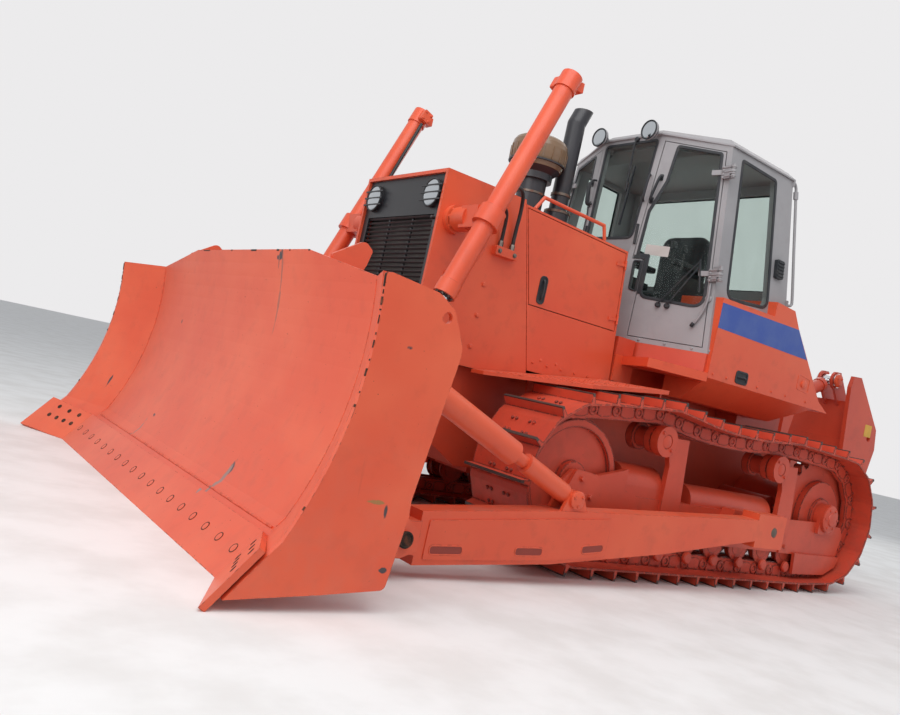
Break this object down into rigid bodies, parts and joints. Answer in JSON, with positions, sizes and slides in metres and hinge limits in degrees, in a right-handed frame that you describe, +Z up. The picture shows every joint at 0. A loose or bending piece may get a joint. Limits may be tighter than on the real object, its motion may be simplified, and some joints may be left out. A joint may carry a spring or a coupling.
{
  "type": "crawler bulldozer",
  "caption": "Orange crawler bulldozer with a wide semi-U blade on push arms, twin lift cylinders, a grey glazed cab and a raised rear ripper.",
  "frame": {"origin": "middle of the machine's length and width, on the ground under the tracks", "axes": "+X forwards to the blade, +Y to the machine's left, +Z up"},
  "size_m": [7.3383, 4.088, 3.412],
  "materials": {
    "orange_paint": "gloss",
    "track_paint": "satin",
    "grey_paint": "satin",
    "dark_grey_paint": "satin",
    "black_steel": "satin",
    "bare_steel": "satin",
    "cast_block": "matt",
    "chrome_rod": "polished",
    "cab_glass": "tinted",
    "lamp_glass": "clear",
    "tan_plastic": "gloss",
    "seat_cloth": "woven",
    "console_plastic": "matt"
  },
  "bodies": {
    "tractor": {"main_frame": "orange_paint", "track_frames": "orange_paint", "trunnion_balls": "bare_steel", "left_track_shoes": "track_paint", "right_track_shoes": "track_paint", "left_track_chain": "track_paint", "right_track_chain": "track_paint", "idlers": "track_paint", "sprockets": "track_paint", "track_rollers": "track_paint", "engine_block": "cast_block", "radiator_guard": "orange_paint", "grille": "dark_grey_paint", "head_lamps": "lamp_glass", "hood": "orange_paint", "hood_handrails": "orange_paint", "exhaust_stack": "black_steel", "air_cleaner": "black_steel", "air_cleaner_bowl": "tan_plastic", "fenders": "orange_paint", "side_tanks": "orange_paint", "cab_base": "orange_paint", "cab_shell": "grey_paint", "cab_glass": "cab_glass", "cab_roof": "grey_paint", "operator_seat": "seat_cloth", "operator_console": "console_plastic", "ripper_mount": "orange_paint"},
    "blade": {"blade_mouldboard": "orange_paint", "blade_back": "orange_paint", "blade_end_plates": "orange_paint", "cutting_edge": "orange_paint", "end_bits": "orange_paint", "push_arms": "orange_paint", "braces": "orange_paint"},
    "left_lift_barrel": {"left_lift_cylinder": "orange_paint"},
    "right_lift_barrel": {"right_lift_cylinder": "orange_paint"},
    "left_lift_piston": {"left_lift_rod": "chrome_rod"},
    "right_lift_piston": {"right_lift_rod": "chrome_rod"},
    "left_engine_hatch": {"left_engine_door": "orange_paint"},
    "right_engine_hatch": {"right_engine_door": "orange_paint"},
    "left_door": {"left_cab_door": "grey_paint", "left_cab_door_glass": "cab_glass"},
    "right_door": {"right_cab_door": "grey_paint", "right_cab_door_glass": "cab_glass"},
    "ripper": {"ripper_frame": "orange_paint", "ripper_shanks": "bare_steel"},
    "ripper_barrels": {"ripper_cylinders": "orange_paint"},
    "ripper_pistons": {"ripper_rods": "chrome_rod"}
  },
  "joints": [
    {"name": "blade_lift", "type": "hinge", "parent": "tractor", "child": "blade", "pos_m": [-0.7292, 0, 0.475], "axis": [0, -1, 0], "range_deg": [-6, 16]},
    {"name": "left_lift_swing", "type": "hinge", "parent": "tractor", "child": "left_lift_barrel", "pos_m": [1.9108, 0.87, 2.05], "axis": [0, -1, 0], "range_deg": [-4.6, 12.1]},
    {"name": "left_lift_slide", "type": "slide", "parent": "left_lift_barrel", "child": "left_lift_piston", "axis": [0.3547, 0, -0.935], "range_m": [-0.853, 0.321]},
    {"name": "right_lift_swing", "type": "hinge", "parent": "tractor", "child": "right_lift_barrel", "pos_m": [1.9108, -0.87, 2.05], "axis": [0, -1, 0], "range_deg": [-4.6, 12.1]},
    {"name": "right_lift_slide", "type": "slide", "parent": "right_lift_barrel", "child": "right_lift_piston", "axis": [0.3547, 0, -0.935], "range_m": [-0.853, 0.321]},
    {"name": "left_cab_door_hinge", "type": "hinge", "parent": "tractor", "child": "left_door", "pos_m": [-0.2022, 1.04, 1.7], "axis": [0.0064, -0.0931, 0.9956], "range_deg": [0, 220]},
    {"name": "right_cab_door_hinge", "type": "hinge", "parent": "tractor", "child": "right_door", "pos_m": [-0.2022, -1.04, 1.7], "axis": [-0.0064, -0.0931, -0.9956], "range_deg": [0, 220]},
    {"name": "left_engine_door_hinge", "type": "hinge", "parent": "tractor", "child": "left_engine_hatch", "pos_m": [0.2718, 0.521, 1.674], "axis": [0.0812, 0, 0.9967], "range_deg": [0, 100]},
    {"name": "right_engine_door_hinge", "type": "hinge", "parent": "tractor", "child": "right_engine_hatch", "pos_m": [0.2718, -0.521, 1.674], "axis": [-0.0812, 0, -0.9967], "range_deg": [0, 100]},
    {"name": "ripper_lower", "type": "hinge", "parent": "tractor", "child": "ripper", "pos_m": [-2.3992, 0, 0.64], "axis": [0, -1, 0], "range_deg": [0, 25]},
    {"name": "ripper_swing", "type": "hinge", "parent": "tractor", "child": "ripper_barrels", "pos_m": [-2.3992, 0, 1.56], "axis": [0, -1, 0], "range_deg": [0, 30.5]},
    {"name": "ripper_slide", "type": "slide", "parent": "ripper_barrels", "child": "ripper_pistons", "axis": [-0.8931, 0, 0.4499], "range_m": [0, 0.391]}
  ],
  "couplings": [
    {"joint": "left_lift_swing", "follows": "blade_lift", "ratio": 0.75},
    {"joint": "left_lift_slide", "follows": "blade_lift", "m_per_rad": -3.05},
    {"joint": "right_lift_swing", "follows": "blade_lift", "ratio": 0.75},
    {"joint": "right_lift_slide", "follows": "blade_lift", "m_per_rad": -3.05},
    {"joint": "ripper_swing", "follows": "ripper_lower", "ratio": 1.21},
    {"joint": "ripper_slide", "follows": "ripper_lower", "m_per_rad": 0.892}
  ]
}
